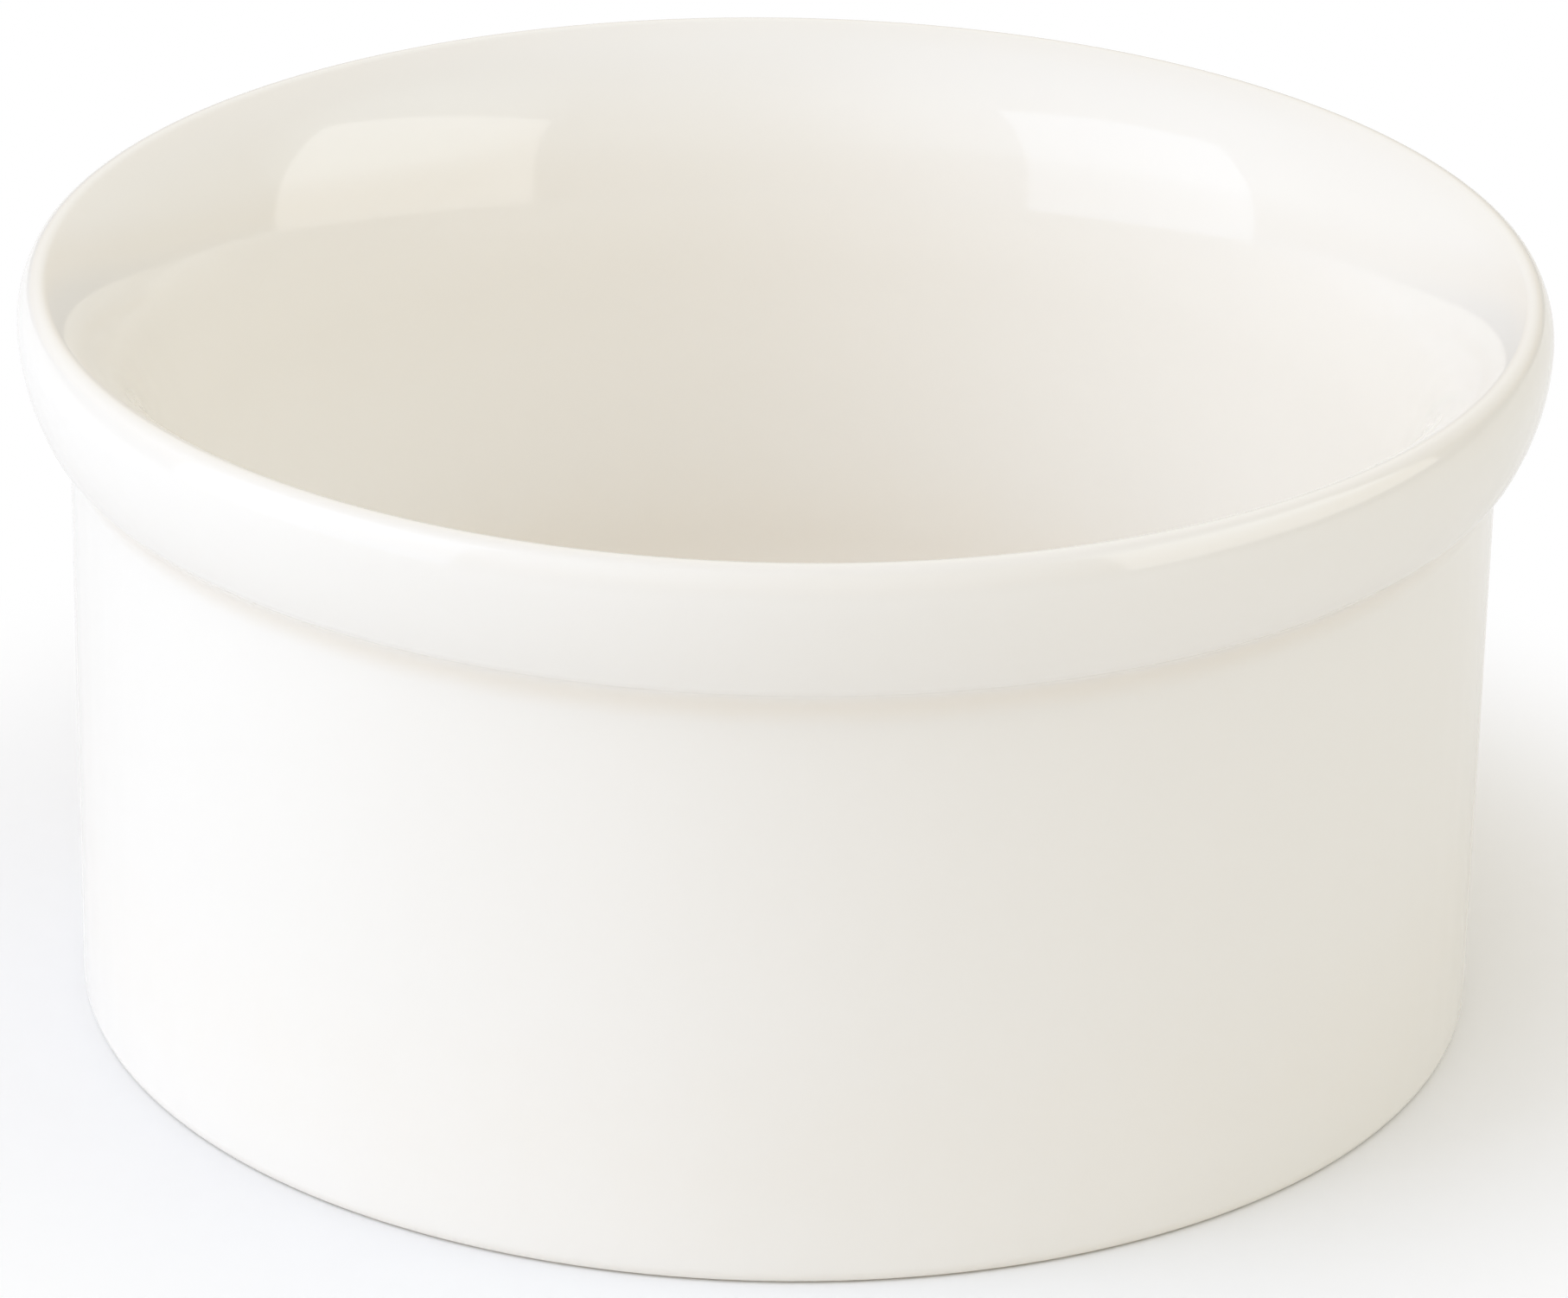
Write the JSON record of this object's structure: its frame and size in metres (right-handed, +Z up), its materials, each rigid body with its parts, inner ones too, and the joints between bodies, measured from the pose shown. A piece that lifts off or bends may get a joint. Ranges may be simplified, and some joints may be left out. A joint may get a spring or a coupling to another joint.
{
  "type": "ramekin",
  "caption": "Low round porcelain ramekin with a near-upright wall, rolled rim, flared lip, rounded inner corner and bare foot ring, for baking and serving one portion.",
  "frame": {"origin": "centre of the plane that the foot ring rests on", "axes": "+Z up along the axis of the bowl, out of its mouth"},
  "size_m": [0.09, 0.09, 0.045],
  "materials": {
    "fired_clay": "matte, bare fired porcelain",
    "white_glaze": "glossy warm white"
  },
  "bodies": {
    "root": {"porcelain_body": "fired_clay", "bowl_glaze": "white_glaze", "base_glaze": "white_glaze"}
  },
  "joints": []
}
